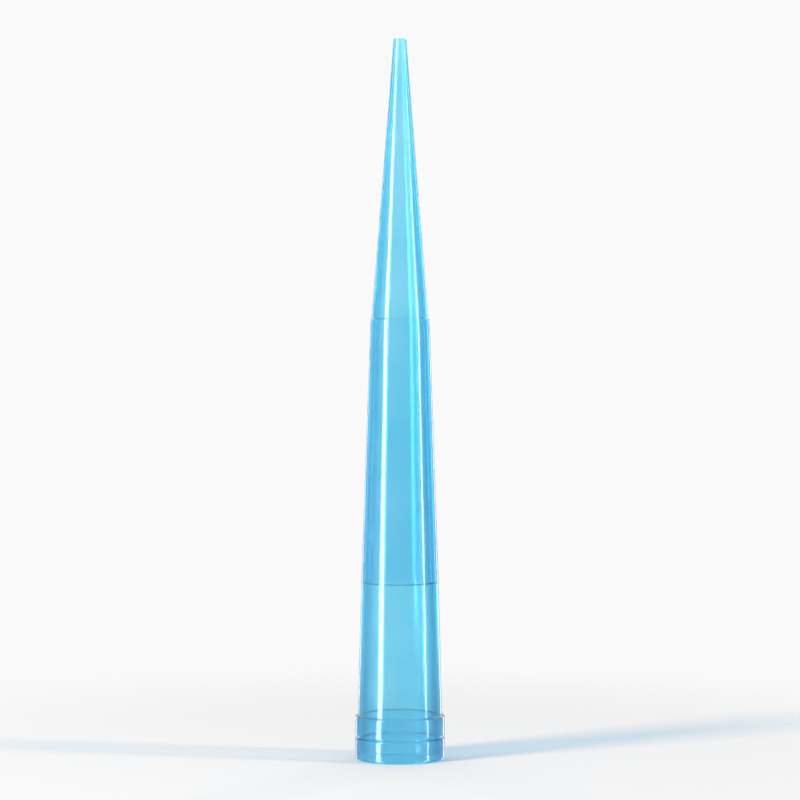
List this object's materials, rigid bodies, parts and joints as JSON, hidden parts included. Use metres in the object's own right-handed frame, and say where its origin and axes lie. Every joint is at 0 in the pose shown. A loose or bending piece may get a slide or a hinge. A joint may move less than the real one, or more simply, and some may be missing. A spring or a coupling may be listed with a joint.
{
  "type": "pipette tip",
  "caption": "Long tapered disposable tip in clear blue plastic, with a ringed collar round its wide socket and a fine orifice at the other end.",
  "frame": {"origin": "centre of the mouth rim's face, in the plane that the tip stands on", "axes": "+Z along the tip's axis, from the mouth up to the orifice; the tip is round, so X and Y are free"},
  "size_m": [0.009, 0.009, 0.071],
  "materials": {
    "blue_polypropylene": "translucent glossy moulded polypropylene, sky blue"
  },
  "bodies": {
    "root": {"pipette_tip": "blue_polypropylene"}
  },
  "joints": []
}
